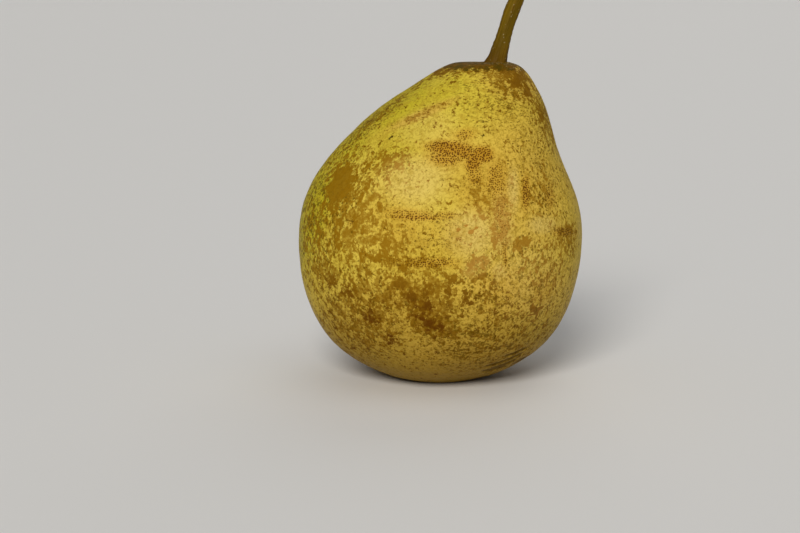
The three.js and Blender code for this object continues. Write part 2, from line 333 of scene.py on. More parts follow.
LEAN_START = 60.5
LEAN_SOFTNESS = 7.9
FLATTENING = 0.03
LOBE_COUNT = 3
LOBE_SHARE = 0.007
RIB_COUNT = 5
RIB_SHARE = 0.016
RIB_FADE_HEIGHT = 16
PUCKER_COUNT = 10
PUCKER_DEPTH = 0.28
STEM_X = 14.45

# The skin's mesh, and how far the crown's rim is smoothed beyond the CAD outline.
RIM_SOFTNESS = 3.2
SKIN_SIDES = 320
SKIN_RINGS = 290
CURVE_STEPS = 60


def fruit_outline():
    """The half outline as radius and height, from the basin's middle to the cavity's."""
    flank = np.array([FLANK_RADIUS, FLANK_HEIGHT])
    flank_way = np.array([-math.cos(FLANK_STEEPNESS), math.sin(FLANK_STEEPNESS)])
    shoulder = np.array([SHOULDER_RADIUS, SHOULDER_HEIGHT])
    foot = np.array([FOOT_OUTER_RADIUS, 0])
    crown_floor = CROWN_HEIGHT - CAVITY_DEPTH
    curves = [
        [(0, BASIN_DEPTH), (BASIN_FLOOR_REACH, BASIN_DEPTH),
         (FOOT_INNER_RADIUS - BASIN_LIP_REACH, 0), (FOOT_INNER_RADIUS, 0)],
        [foot, foot + FOOT_REACH,
         (BELLY_RADIUS, BELLY_HEIGHT - BELLY_REACH_DOWN), (BELLY_RADIUS, BELLY_HEIGHT)],
        [(BELLY_RADIUS, BELLY_HEIGHT), (BELLY_RADIUS, BELLY_HEIGHT + BELLY_REACH_UP),
         flank - flank_way * FLANK_REACH_DOWN, flank],
        [flank, flank + flank_way * FLANK_REACH_UP, shoulder + SHOULDER_REACH_OUT, shoulder],
        [shoulder, shoulder + SHOULDER_REACH_IN,
         (CROWN_RADIUS + CROWN_REACH, CROWN_HEIGHT), (CROWN_RADIUS, CROWN_HEIGHT)],
        [(CROWN_RADIUS, CROWN_HEIGHT), (CROWN_RADIUS / 2, CROWN_HEIGHT),
         (CROWN_RADIUS / 2, crown_floor), (0, crown_floor)],
    ]
    return np.concatenate([bezier(c, CURVE_STEPS)[:-1] for c in curves] + [[(0, crown_floor)]])


def rounded_rim(line, along):
    """The outline with each point near the crown's rim drawn towards its neighbours' mean."""
    apart = (along[:, None] - along[None]) / RIM_SOFTNESS
    weight = np.exp(-apart**2)
    mean = weight @ line / weight.sum(1, keepdims=True)
    share = smooth_step(CROWN_HEIGHT - 9, CROWN_HEIGHT - 5, line[:, 1:])
    share = share * smooth_step(CROWN_RADIUS / 2, CROWN_RADIUS + 1, line[:, :1])
    return line + share * (mean - line)


def axis_lean(height):
    def bend(h):
        return LEAN_SLOPE * ((h - LEAN_START) + np.hypot(h - LEAN_START, LEAN_SOFTNESS)) / 2
    return bend(height) - bend(BELLY_HEIGHT)


def grown_fruit():
    """The fruit's grid of points, with each point's angle, radius and distance along the outline."""
    line, along = even_steps(fruit_outline(), SKIN_RINGS + 2)
    line = rounded_rim(line, along)
    radius, height = line[1:-1, 0:1], line[1:-1, 1:2]
    along = along[1:-1, None]
    angle = math.pi / 2 + 2 * math.pi * np.arange(SKIN_SIDES)[None] / SKIN_SIDES
    quarter = math.pi / 2
    belly = np.exp(-2 * ((height - BELLY_HEIGHT) / BELLY_HEIGHT) ** 2)
    low = np.exp(-(height / RIB_FADE_HEIGHT) ** 2)
    lobes = LOBE_SHARE * belly * np.cos(LOBE_COUNT * angle + quarter)
    ribs = RIB_SHARE * low * np.cos(RIB_COUNT * angle + quarter)
    grown = radius * (1 + lobes + ribs)
    in_basin = (radius < FOOT_INNER_RADIUS) & (height <= BASIN_DEPTH)
    share = 2 * radius / FOOT_INNER_RADIUS - 1
    pucker = PUCKER_DEPTH * np.maximum(0, 1 - share**2) ** 2 * np.cos(PUCKER_COUNT * angle)
    in_cavity = (radius < CROWN_RADIUS) & (height > BELLY_HEIGHT)
    lean = axis_lean(height)
    sideways = lean + np.where(in_cavity, (STEM_X - lean) * (1 - radius / CROWN_RADIUS), 0)
    grid = np.stack([
        sideways + grown * np.cos(angle),
        grown * (1 - FLATTENING) * np.sin(angle),
        height + np.where(in_basin, pucker, 0),
    ], -1)
    return grid, *np.broadcast_arrays(angle, radius, along)


# What the skin shows where the photograph sees it. Each mark is a soft ellipse in the
# photograph's pixels: across, down, half width, half height, tilt in degrees, and strength.
PHOTO_MARKS = {
    "patch": [
        (340, 184, 12, 23, 22, 1.5), (333, 203, 8, 13, 20, 0.8), (321, 212, 3.5, 16, 16, 0.8),
        (318, 236, 4, 12, 6, 0.8), (341, 224, 4, 16, 10, 0.85), (355, 225, 3, 13, 4, 0.85),
        (338, 244, 4, 12, 8, 0.75), (363, 192, 5, 12, 30, 0.6), (370, 184, 9, 4, -50, 0.55),
        (380, 206, 4, 5, 0, 0.7), (387, 246, 4.5, 11, 0, 1.0), (374, 240, 4.5, 6, 0, 0.7),
        (380, 258, 15, 5, 8, 0.8), (361, 256, 4, 12, -4, 0.75), (388, 158, 16, 7, -8, 0.6),
        (395, 165, 7, 5, 0, 0.6), (366, 164, 5, 8, 40, 0.5), (405, 268, 6, 9, 0, 0.85),
        (398, 282, 9, 7, 0, 0.8), (412, 296, 10, 9, 20, 0.8), (428, 288, 5, 12, -10, 0.75),
        (424, 306, 12, 7, 0, 0.85), (452, 279, 10, 6, 22, 0.9), (448, 290, 4, 9, 0, 0.75),
        (433, 325, 15, 6, 14, 1.0), (424, 318, 10, 7, 20, 0.85), (466, 298, 2.5, 10, -12, 0.85),
        (470, 303, 8, 3, 10, 0.8), (492, 309, 7, 2, 38, 0.75), (494, 238, 4.5, 16, 0, 0.85),
        (496, 205, 4, 12, 4, 0.6), (498, 216, 2, 18, 0, 0.6), (507, 222, 1.6, 20, 2, 0.6),
        (523, 243, 8.5, 5.5, -35, 1.0), (480, 210, 3, 8, -24, 0.7), (517, 249, 6, 2.5, -20, 0.75),
        (475, 262, 10, 4.5, -38, 0.85), (482, 277, 5, 3.5, -40, 0.75), (492, 284, 2.2, 9, 22, 0.8),
        (484, 217, 5, 2.2, 10, 0.7), (477, 208, 2.5, 7, -18, 0.6), (450, 203, 3, 2.6, 0, 0.7),
        (523, 268, 2.4, 8, 22, 0.8), (518, 273, 5, 3, 0, 0.7), (560, 268, 1.8, 10, 14, 0.8),
        (513, 78, 18, 9, 22, 1.0), (527, 92, 3.5, 14, -22, 0.8), (540, 112, 3, 12, -20, 0.7),
        (480, 68, 30, 4.5, 2, 0.95), (445, 71, 17, 4, -24, 0.9), (420, 84, 14, 3, -30, 0.5),
        (454, 80, 4, 6, 10, 0.55), (505, 97, 2.6, 9, 6, 0.7), (499, 105, 3.5, 2.4, 0, 0.6),
        (463, 103, 7, 1.6, 8, 0.5), (571, 231, 4, 8, 8, 0.55), (573, 248, 2.5, 12, 4, 0.6),
        (350, 290, 10, 8, 30, 0.7), (330, 280, 5, 12, -10, 0.7), (372, 318, 12, 7, 20, 0.7),
        (390, 340, 9, 5, 10, 0.7),
    ],
    "russet": [
        (352, 214, 36, 66, 12, 0.8), (385, 164, 34, 18, -14, 0.75), (345, 165, 20, 34, 34, 0.7),
        (372, 123, 56, 5, -40, 0.75), (309, 225, 6, 34, 6, 0.8), (380, 245, 34, 30, 0, 0.75),
        (405, 262, 52, 20, 8, 0.7), (425, 296, 44, 36, 25, 1.0), (436, 324, 34, 20, 10, 1.0),
        (372, 300, 56, 44, 20, 0.8), (325, 260, 28, 40, -14, 0.75), (360, 320, 50, 36, 40, 0.8),
        (478, 268, 26, 20, -25, 0.7), (428, 113, 34, 4.5, -24, 0.7), (463, 100, 16, 3.5, 6, 0.4),
        (478, 198, 14, 22, 0, 0.65), (500, 222, 15, 34, 0, 0.8), (522, 245, 14, 12, 0, 0.7),
        (540, 190, 16, 30, 0, 0.6), (546, 272, 22, 44, 10, 0.55), (475, 300, 34, 24, 0, 0.5),
        (500, 335, 60, 34, -16, 0.55), (512, 84, 30, 18, 25, 0.85), (470, 72, 46, 8, 0, 0.85),
        (543, 120, 12, 34, -20, 0.75), (565, 236, 12, 20, 0, 0.8),
    ],
    "stipple": [
        (450, 148, 26, 8, 2, 1.25), (464, 152, 14, 9, 10, 1.1), (483, 154, 12, 9, 12, 1.35),
        (446, 157, 20, 10, 0, 0.95), (474, 161, 9, 14, 14, 1.25), (475, 177, 10, 12, 20, 0.8),
        (465, 134, 13, 7, -6, 0.75), (496, 180, 12, 24, 0, 0.75), (502, 215, 10, 36, 0, 0.55),
        (505, 254, 3, 18, -4, 0.8), (525, 193, 5, 20, 0, 1.0), (549, 197, 6, 14, -6, 0.7),
        (418, 217.5, 38, 3.6, 1, 0.95), (410, 214, 34, 6, 4, 0.7), (445, 216, 16, 6, 0, 0.7),
        (428, 263, 36, 7, 0, 0.82), (398, 262, 14, 6, 0, 0.6), (440, 238, 36, 24, 0, 0.45),
        (405, 230, 26, 18, 0, 0.42), (352, 222, 4, 6, 0, 0.8), (564, 232, 13, 6, 8, 0.9),
        (544, 288, 12, 20, 20, 0.4), (475, 190, 26, 24, 0, 0.45), (505, 290, 20, 20, 0, 0.35),
    ],
    "speck": [
        # The strongest specks along the left rim and the upper left edge are partly painted shade for
        # the darkening at those rims.
        (520, 300, 70, 70, -20, 0.8), (540, 170, 34, 80, -8, 0.65), (366, 129, 62, 9, -40, 1.1),
        (302, 200, 7, 56, 14, 1.4), (330, 215, 26, 70, 18, 0.9), (314, 205, 14, 70, 16, 1.1),
        (500, 100, 50, 32, 14, 0.68), (480, 345, 76, 30, 0, 1.0), (395, 180, 34, 50, 0, 0.3),
        (440, 235, 40, 24, 0, 0.45), (420, 110, 50, 20, -35, 0.3), (360, 320, 70, 60, 0, 0.6),
    ],
    "warm": [
        (520, 200, 60, 100, 0, 0.8), (505, 300, 80, 60, -20, 0.9), (470, 350, 90, 30, 0, 1.0),
        (385, 225, 50, 50, 0, 0.4), (460, 155, 40, 24, 0, 0.6), (515, 80, 36, 26, 20, 0.8),
        (410, 320, 90, 50, 0, 0.8), (422, 115, 38, 4.5, -24, 1.0),
    ],
    "green": [
        (310, 215, 20, 80, 18, 1.0), (345, 140, 22, 50, 44, 0.9), (400, 100, 50, 26, -35, 0.9),
        (445, 90, 34, 14, -10, 0.6), (478, 102, 44, 28, 0, 0.4), (404, 140, 36, 22, -24, 0.4),
        (548, 345, 30, 30, -40, 0.6),
    ],
    "pale": [
        (415, 180, 34, 24, 0, 0.8), (425, 128, 30, 18, -20, 0.35), (470, 234, 25, 24, 0, 1.0),
        (478, 264, 18, 11, -35, 0.65), (502, 226, 12, 34, 0, 0.7), (512, 191, 6, 24, 0, 0.85),
        (542, 225, 14, 9, 0, 0.8), (530, 282, 36, 44, -15, 0.35), (500, 272, 8, 10, 0, 0.8),
    ],
    "crack": [
        (390, 138, 5, 1.1, -32, 1.0), (399, 137, 5, 1.2, 8, 0.9), (483, 121, 5, 1.3, 8, 1.15),
        (483, 135, 2.5, 2.2, -50, 1.1), (474, 104, 3, 1.2, 6, 0.8),
    ],
    "spot": [
        (534.5, 309.5, 5.2, 3.0, 8, 1.1), (531.8, 304.5, 1.2, 4.0, -8, 1.1),
        (540, 308, 4.6, 1.4, -20, 1.1), (531.5, 314.6, 5.2, 1.1, -6, 1.0),
        (536.3, 316, 1.2, 3.6, 12, 1.0), (458.5, 229.8, 2.7, 2.7, 0, 1.0),
        (471, 232, 3.6, 2.4, -8, 1.0), (466, 225.5, 2.6, 1.6, 20, 0.9), (476, 228, 2.6, 1.6, -20, 0.8),
        (464, 221, 1.8, 1.2, 0, 0.7),
    ],
}
MARK_KINDS = list(PHOTO_MARKS)

# What the skin shows behind, where the photograph sees nothing: for each kind, how many marks,
# their smallest and largest half width in millimetres, and their strength.
HIDDEN_MARKS = {
    "patch": (32, 1.2, 4.5, 0.8),
    "russet": (24, 5, 14, 0.85),
    "stipple": (14, 2.5, 9, 0.8),
    "speck": (18, 10, 22, 0.95),
    "warm": (5, 14, 26, 0.8),
    "green": (4, 12, 20, 0.7),
    "pale": (7, 6, 12, 0.7),
    "crack": (6, 0.5, 1.0, 0.9),
    "spot": (12, 0.4, 1.1, 0.9),
}
HIDDEN_SEED = 41
MARK_EDGE = (1.5, 0.3)


def photo_marks(kind, pixels):
    """The strength of a kind of mark at each pixel: 1 at a mark's middle, 0 at 1.5 half widths."""
    total = np.zeros(pixels.shape[:-1])
    for across, down, half_width, half_height, tilt, strength in PHOTO_MARKS[kind]:
        x, y = pixels[..., 0] - across, pixels[..., 1] - down
        turn = math.radians(tilt)
        along = (x * math.cos(turn) + y * math.sin(turn)) / half_width
        aside = (y * math.cos(turn) - x * math.sin(turn)) / half_height
        total = np.maximum(total, strength * smooth_step(*MARK_EDGE, np.hypot(along, aside)))
    return total


def hidden_marks(kind, grid, unseen):
    """The same for the hidden side, with seeded marks centred on points that the view misses."""
    draw = np.random.default_rng([HIDDEN_SEED, MARK_KINDS.index(kind)])
    count, smallest, largest, strength = HIDDEN_MARKS[kind]
    places = grid[unseen > 0.5]
    total = np.zeros(grid.shape[:2])
    for _ in range(count):
        centre = places[draw.integers(len(places))]
        half = draw.uniform(smallest, largest)
        stretch = np.array([1, 1, draw.uniform(0.45, 1.6)])
        distance = np.linalg.norm((grid - centre) * stretch, axis=-1) / half
        share = strength * draw.uniform(0.7, 1.1)
        total = np.maximum(total, share * smooth_step(*MARK_EDGE, distance))
    return total


# Shapes in the skin that stand in the geometry.
LUMP_SIZE = 24
LUMP_HEIGHT = 0.2
DIMPLE_SIZE = 7
DIMPLE_HEIGHT = 0.045
GRAIN_SIZE = 3
GRAIN_HEIGHT = 0.012
FLAT_FOOT_HEIGHTS = (2.2, 0.2)
FLAT_FOOT_OUTSIDE = (16, 12.5)
FLAT_FOOT_INSIDE = (7.5, 9)
NECK_FULL_HEIGHT = 75
NECK_FULL_REACH = 7
NECK_FULLNESS = 0.12
NEAR_CROWN = (CROWN_HEIGHT - 6, CROWN_HEIGHT - 2)
CROWN_LIFT = 0.55
CROWN_LIFT_HEIGHTS = (CROWN_HEIGHT - 7, CROWN_HEIGHT - 1.5)
COLLAR_RADIUS = 3.0
COLLAR_WIDTH = 1.1
COLLAR_HEIGHT = 0.15
COLLAR_FOLDS = 17
COLLAR_FOLD_HEIGHT = 0.10
COLLAR_FOLD_REACH = (8, 3)
BASIN_WRINKLES = 31
BASIN_WRINKLE_HEIGHT = 0.09
BASIN_WRINKLE_OUTSIDE = (FOOT_INNER_RADIUS, 7)
BASIN_WRINKLE_INSIDE = (1.5, 4)

# Where the skin's tints begin and end, as heights, or as distances from the stem or the axis.
# The low and deep tints darken the lower fruit: partly browner skin, partly painted shade.
LOW_TINT_AND_SHADE = (32, 0)
DEEP_TINT_AND_SHADE = (39, 22)
NECK_TINT = (FLANK_HEIGHT, CROWN_HEIGHT - 6)
NECK_TINT_SHARE = 0.55
# The cap tint is partly russet and partly painted shade on the crown's upward face.
CAP_TINT = (80.0, 82.6)
FLECK_REACH = (9, 6.5)
BASIN_TINT = (17, 6)

# How squarely a place has to face the viewer to take on the photograph's marks and folds.
SEEN_EDGE = (-0.45, 0.05)
FOLD_EDGE = (0.0, 0.1)

# How much longer the patterns are along the neck, and the depth and width of the folds.
NECK_STRETCH = 1.1
NECK_STRETCH_LENGTH = 14
FOLD_DEPTH = 0.4
FOLD_HALF_WIDTH_PX = 1.1

# The shallow folds beside the foot, each from one photograph pixel to another, with its sag.
PHOTO_FOLDS = [
    ((484, 367), (524, 352), 1.5),
    ((489, 369.3), (519, 357.5), 1.0),
    ((480, 372), (508, 364.5), 0.8),
    ((503, 356.5), (529, 346.5), 0.8),
    ((510, 365), (528, 355.5), 0.6),
]


def fold_depth(pixels):
    """How deep in a fold each pixel lies, from 0 to 1."""
    total = np.zeros(pixels.shape[:-1])
    for start, end, sag in PHOTO_FOLDS:
        start, end = np.array(start, float), np.array(end, float)
        way = end - start
        length = np.linalg.norm(way)
        way /= length
        offset = pixels - start
        along = offset @ way
        share = np.clip(along / length, 0, 1)
        side = offset[..., 0] * -way[1] + offset[..., 1] * way[0] - 4 * sag * share * (1 - share)
        ends = smooth_step(-2, 6, along) * smooth_step(length + 2, length - 6, along)
        total = np.maximum(total, ends * np.exp(-(side / FOLD_HALF_WIDTH_PX) ** 2))
    return total


def skin_rise(grid, radius, folds):
    """How far the lumps, the full neck and the folds move the skin outwards."""
    height = grid[..., 2]
    on_foot = smooth_step(*FLAT_FOOT_HEIGHTS, np.abs(height))
    on_foot *= smooth_step(*FLAT_FOOT_OUTSIDE, radius) * smooth_step(*FLAT_FOOT_INSIDE, radius)
    rise = (
        LUMP_HEIGHT * waves(grid, LUMP_SIZE, 1)
        + DIMPLE_HEIGHT * waves(grid, DIMPLE_SIZE, 2)
        + GRAIN_HEIGHT * waves(grid, GRAIN_SIZE, 3)
        + NECK_FULLNESS * np.exp(-(((height - NECK_FULL_HEIGHT) / NECK_FULL_REACH) ** 2))
        - FOLD_DEPTH * folds
    )
    return rise * (1 - on_foot)


def crown_rise(grid, height, from_stem):
    """How far the crown is lifted, with the collar and its pleats round the stem."""
    near_crown = smooth_step(*NEAR_CROWN, height)
    collar = near_crown * np.exp(-(((from_stem - COLLAR_RADIUS) / COLLAR_WIDTH) ** 2))
    collar = np.where(from_stem < COLLAR_RADIUS, near_crown, collar)
    angle = np.arctan2(grid[..., 1], grid[..., 0] - STEM_X)
    wobble = 0.8 * np.sin(3 * angle + 1) + 0.5 * np.sin(5 * angle)
    pleats = np.cos(COLLAR_FOLDS * angle + wobble) * smooth_step(*COLLAR_FOLD_REACH, from_stem)
    lift = CROWN_LIFT * smooth_step(*CROWN_LIFT_HEIGHTS, height)
    return lift + COLLAR_HEIGHT * collar + COLLAR_FOLD_HEIGHT * pleats * near_crown


def basin_rise(angle, radius, height):
    """The wrinkles that run down into the basin."""
    in_basin = (radius < FOOT_INNER_RADIUS) & (height < BASIN_DEPTH + 1)
    wrinkles = np.cos(BASIN_WRINKLES * angle + 2 * np.sin(2 * angle))
    wrinkles *= smooth_step(*BASIN_WRINKLE_OUTSIDE, radius)
    wrinkles *= smooth_step(*BASIN_WRINKLE_INSIDE, radius)
    return np.where(in_basin, BASIN_WRINKLE_HEIGHT * wrinkles, 0)


def give_places(piece, grid, angle, radius, along, height):
    """Two places for the patterns: one stretched along the neck, and one unrolled flat."""
    stretch = 1 + NECK_STRETCH * smooth_step(
        FLANK_HEIGHT, FLANK_HEIGHT + NECK_STRETCH_LENGTH, height[:, :1])
    steps = np.diff(along[:, :1], axis=0, prepend=0)
    stretched = np.broadcast_to(np.cumsum(steps * stretch, axis=0), along.shape)
    weave = np.stack([grid[..., 0] - axis_lean(height), grid[..., 1], stretched], -1)
    sheet = np.stack([radius * np.arcsin(np.cos(angle)), along, np.zeros(along.shape)], -1)
    for name, places in (("weave", weave), ("sheet", sheet)):
        give_values(piece, name, places, places[0].mean(0), places[-1].mean(0))


def give_tints(piece, radius, height, from_stem):
    """How far each vertex lies in the tints that follow the fruit's shape; the low and deep tints are
    partly painted shade.
    """
    flecked = smooth_step(*NEAR_CROWN, height) * smooth_step(*FLECK_REACH, from_stem)
    basin = np.where(height < BELLY_HEIGHT, smooth_step(*BASIN_TINT, radius), 0)
    deep = NECK_TINT_SHARE * smooth_step(*NECK_TINT, height)
    give_values(piece, "cap", smooth_step(*CAP_TINT, height), 0, 1)
    give_values(piece, "stem_foot", flecked, 0, 1)
    give_values(piece, "basin", basin, 1, 0)
    give_values(piece, "low", smooth_step(*LOW_TINT_AND_SHADE, height), 1, 0)
    give_values(piece, "deep", np.maximum(deep, smooth_step(*DEEP_TINT_AND_SHADE, height)), 1, 0)


def make_skin(material):
    plain, angle, radius, along = grown_fruit()
    height = plain[..., 2]
    normal = grid_normals(plain)
    facing = -(normal @ FORWARD)
    seen = smooth_step(*SEEN_EDGE, facing)
    pixels = photo_pixels(plain)
    folds = fold_depth(pixels) * smooth_step(*FOLD_EDGE, facing)
    from_stem = np.hypot(plain[..., 0] - STEM_X, plain[..., 1])
    grid = plain + normal * skin_rise(plain, radius, folds)[..., None]
    grid[..., 2] += crown_rise(grid, height, from_stem) + basin_rise(angle, radius, height)
    grid[..., 2] = np.maximum(grid[..., 2], 0)
    piece = grid_object("pear_skin", grid, material)
    for kind in MARK_KINDS:
        marks = seen * photo_marks(kind, pixels) + (1 - seen) * hidden_marks(kind, grid, 1 - seen)
        give_values(piece, kind, marks, 0, 0)
    give_values(piece, "folds", folds, 0, 0)
    give_tints(piece, radius, height, from_stem)
    give_places(piece, grid, angle, radius, along, height)
    seat(piece, "fruit")


# Colours, as linear red, green and blue.
YELLOW = (0.64, 0.472, 0.050, 1)
PALE_YELLOW = (0.69, 0.525, 0.066, 1)
PALE_TAN = (0.72, 0.54, 0.150, 1)
GREEN_YELLOW = (0.50, 0.420, 0.012, 1)
WARM_OCHRE = (0.69, 0.415, 0.070, 1)
OLIVE_TAN = (0.41, 0.255, 0.020, 1)
THREAD_BROWN = (0.27, 0.150, 0.006, 1)
LOW_OCHRE_AND_SHADE = (0.265, 0.152, 0.018, 1)
RUSSET = (0.262, 0.130, 0.002, 1)
TAN_RUSSET = (0.34, 0.170, 0.009, 1)
DARK_RUSSET = (0.103, 0.032, 0.001, 1)
PINK_RUSSET = (0.56, 0.300, 0.058, 1)
ORANGE_TINT = (0.54, 0.280, 0.024, 1)
BLOTCH = (0.47, 0.245, 0.018, 1)
CAP_OLIVE_AND_SHADE = (0.078, 0.048, 0.001, 1)
CAP_BROWN_AND_SHADE = (0.145, 0.067, 0.001, 1)
FOLD_SHADE = (0.080, 0.038, 0.001, 1)
SPOT_BROWN = (0.17, 0.072, 0.002, 1)
SPOT_RED = (0.44, 0.205, 0.026, 1)
DOT_OLIVE = (0.135, 0.070, 0.001, 1)
DOT_GREEN_AND_SHADE = (0.120, 0.070, 0.001, 1)
DOT_RED = (0.095, 0.028, 0.002, 1)
CRACK_DARK = (0.055, 0.030, 0.001, 1)
FLECK = (0.52, 0.41, 0.20, 1)


# The sizes of the skin's patterns in millimetres: clouds of noise, cells, and a vertical stretch.
CLOUD_SIZE = 15
MOTTLE_SIZE = 1.9
FINE_SIZE = 0.8
THREAD_SIZE = 1.5
GRAIN_CELL = 0.9
RUSSET_SIZE = 1.7
TEAR_SIZE = 1.6
SPECK_SIZE = 1.35
CRACKLE_CELL = 3.2
SMALL_DOT_CELL = 0.84
LARGE_DOT_CELL = 1.5
CLOSE_DOT_CELL = 0.57
FLECK_CELL = 0.62
TALL_SHARES = (1, 1, 0.8)
SKIN_SPECULAR = 0.03


def skin_ground(t, place, tall, mottle, fine):
    """The yellow ground with its tints, and the fine threads and grain in it."""
    clouds = t.noise(place, CLOUD_SIZE, 3)
    colour = t.mix(t.step(clouds, 0.35, 0.65), YELLOW, PALE_YELLOW)
    colour = t.mix(t.value("green"), colour, GREEN_YELLOW, 0.85)
    colour = t.mix(t.value("warm"), colour, WARM_OCHRE, 0.7)
    colour = t.mix(t.value("pale"), colour, PALE_TAN, 0.7)
    colour = t.mix(t.step(mottle, 0.49, 0.62, 0, 0.46), colour, OLIVE_TAN)
    # Duller olive tan where russet marks lie in the deep tint: in the lower band partly the skin's
    # colour and partly painted shade.
    dull_and_shade = t.times(t.times(t.value("deep"), t.value("russet")), 0.5)
    colour = t.mix(dull_and_shade, colour, OLIVE_TAN)
    # Darker ochre towards the bottom: partly the skin's browner foot, partly painted shade on the
    # underside.
    colour = t.mix(t.value("low"), colour, LOW_OCHRE_AND_SHADE, 0.85)
    winding = t.maths("ABSOLUTE", t.add(t.noise(tall, THREAD_SIZE, 6, 0.78), -0.5))
    threads = t.times(t.step(winding, 0.022, 0.006), t.step(fine, 0.44, 0.54))
    colour = t.mix(threads, colour, THREAD_BROWN, 0.4)
    grain_edge, _ = t.cells(t.jostled(place, 0.9, 0.3), GRAIN_CELL, "DISTANCE_TO_EDGE")
    grain = t.times(t.step(grain_edge, 0.03, 0.15, 1, 0), t.step(fine, 0.40, 0.56))
    grain_share = t.times_add(t.value("warm"), 0.30, 0.28)
    colour = t.mix(grain, colour, THREAD_BROWN, grain_share)
    stipple = t.value("stipple")
    colour = t.mix(stipple, colour, ORANGE_TINT, 0.4)
    return t.mix(t.times(stipple, stipple), colour, BLOTCH, 0.75)


def with_browns(t, colour, tall, torn, mottle, fine):
    """Lays the russet, the patches and the crown's cap, which is partly painted shade, over the
    colour. Gives the colour, the patches, and how brown the skin is."""
    ragged = t.noise(t.jostled(tall, 2.0, 0.7), RUSSET_SIZE, 8, 0.72)
    russet_field = t.times_add(t.value("russet"), 0.21, ragged)
    russet_field = t.times_add(t.value("basin"), 0.14, russet_field)
    russet = t.step(t.times_add(fine, 0.20, russet_field), 0.71, 0.77)
    patch_field = t.add(t.value("patch"), t.times_add(fine, 0.9, torn))
    patch = t.step(patch_field, 0.85, 1.05)
    cap = t.step(t.add(t.value("cap"), t.times(torn, 0.7)), 0.42, 0.62)
    deep = t.value("deep")
    core = t.step(t.times_add(mottle, 4.0, patch_field), 2.3, 3.7, 0.35, 0.95)
    brown = t.mix(t.without(t.value("warm"), deep), RUSSET, TAN_RUSSET)
    brown = t.mix(t.times(deep, core), brown, DARK_RUSSET)
    brown = t.mix(t.value("pale"), brown, PINK_RUSSET, 0.8)
    half = t.add(t.times(mottle, 0.5), t.times(fine, 0.5))
    colour = t.mix(t.times(russet, t.step(half, 0.42, 0.54, 0.66, 0.90)), colour, brown)
    colour = t.mix(patch, colour, brown, 0.94)
    # The crown's top is dark olive and brown: partly russet, partly painted shade on the upward face,
    # which gets less light from the front.
    cap_russet_and_shade = t.mix(t.step(mottle, 0.42, 0.58), CAP_OLIVE_AND_SHADE, CAP_BROWN_AND_SHADE)
    colour = t.mix(cap, colour, cap_russet_and_shade, 0.95)
    return colour, patch, t.either(t.either(russet, patch), cap)


def with_spots_and_folds(t, colour, torn):
    spot = t.step(t.add(t.value("spot"), t.times(torn, 0.3)), 0.30, 0.50)
    spot_colour = t.mix(t.value("pale"), SPOT_BROWN, SPOT_RED)
    colour = t.mix(spot, colour, spot_colour, 0.9)
    # The folds are darkened: painted shade in their creases, over the grooves that the geometry
    # already has.
    folds = t.step(t.add(t.value("folds"), t.times(torn, 0.3)), 0.20, 0.75)
    return t.mix(folds, colour, FOLD_SHADE, 0.72)


def with_specks(t, colour, weave, patch, fine):
    """Adds the specks, the crackle and the scattered dots. Gives the colour and the specks."""
    speck = t.value("speck")
    speck_noise = t.noise(weave, SPECK_SIZE, 5, 0.64)
    specks = t.step(t.times_add(speck, 0.110, speck_noise), 0.665, 0.705)
    edge_distance, _ = t.cells(t.jostled(weave, 2.0, 0.7), CRACKLE_CELL, "DISTANCE_TO_EDGE")
    crackle = t.times(t.step(edge_distance, 0.04, 0.12, 1, 0), t.step(fine, 0.50, 0.55))
    crackle = t.times(crackle, speck)
    place = t.jostled(weave, 0.6, 0.22)
    small_dots = t.dots(place, SMALL_DOT_CELL, 0.38, t.times_add(speck, 0.40, -0.08), 0.2)
    large_dots = t.dots(place, LARGE_DOT_CELL, 0.24, t.times_add(speck, 0.42, -0.10), 0.14)
    marked = t.either(t.times(specks, 0.8), t.times(crackle, 0.5))
    marked = t.either(marked, t.times(t.either(small_dots, large_dots), 0.8))
    marked = t.without(marked, t.times(t.value("pale"), 0.6))
    marked = t.without(marked, t.times(patch, 0.75))
    # Dots in the green zones take a dark olive, which along the left rim is partly painted shade.
    return t.mix(marked, colour, t.mix(t.value("green"), DOT_OLIVE, DOT_GREEN_AND_SHADE)), specks


def with_close_dots(t, colour, fine):
    """Adds the crowded dots of the stippled marks. Gives the colour and the dots."""
    stippled = t.add(t.value("stipple"), t.times_add(fine, 1.2, -0.6))
    crowded = t.step(stippled, 0.45, 1.0)
    radius = t.times_add(crowded, 0.12, 0.24)
    density = t.step(stippled, 0.10, 0.60, 0.2, 1.0)
    dots = t.dots(t.vector("sheet"), CLOSE_DOT_CELL, radius, density, 0.18, 0.72, flat=True)
    dots = t.times(dots, t.step(stippled, 0.15, 0.8))
    return t.mix(t.times(dots, 0.94), colour, t.mix(crowded, DOT_OLIVE, DOT_RED)), dots


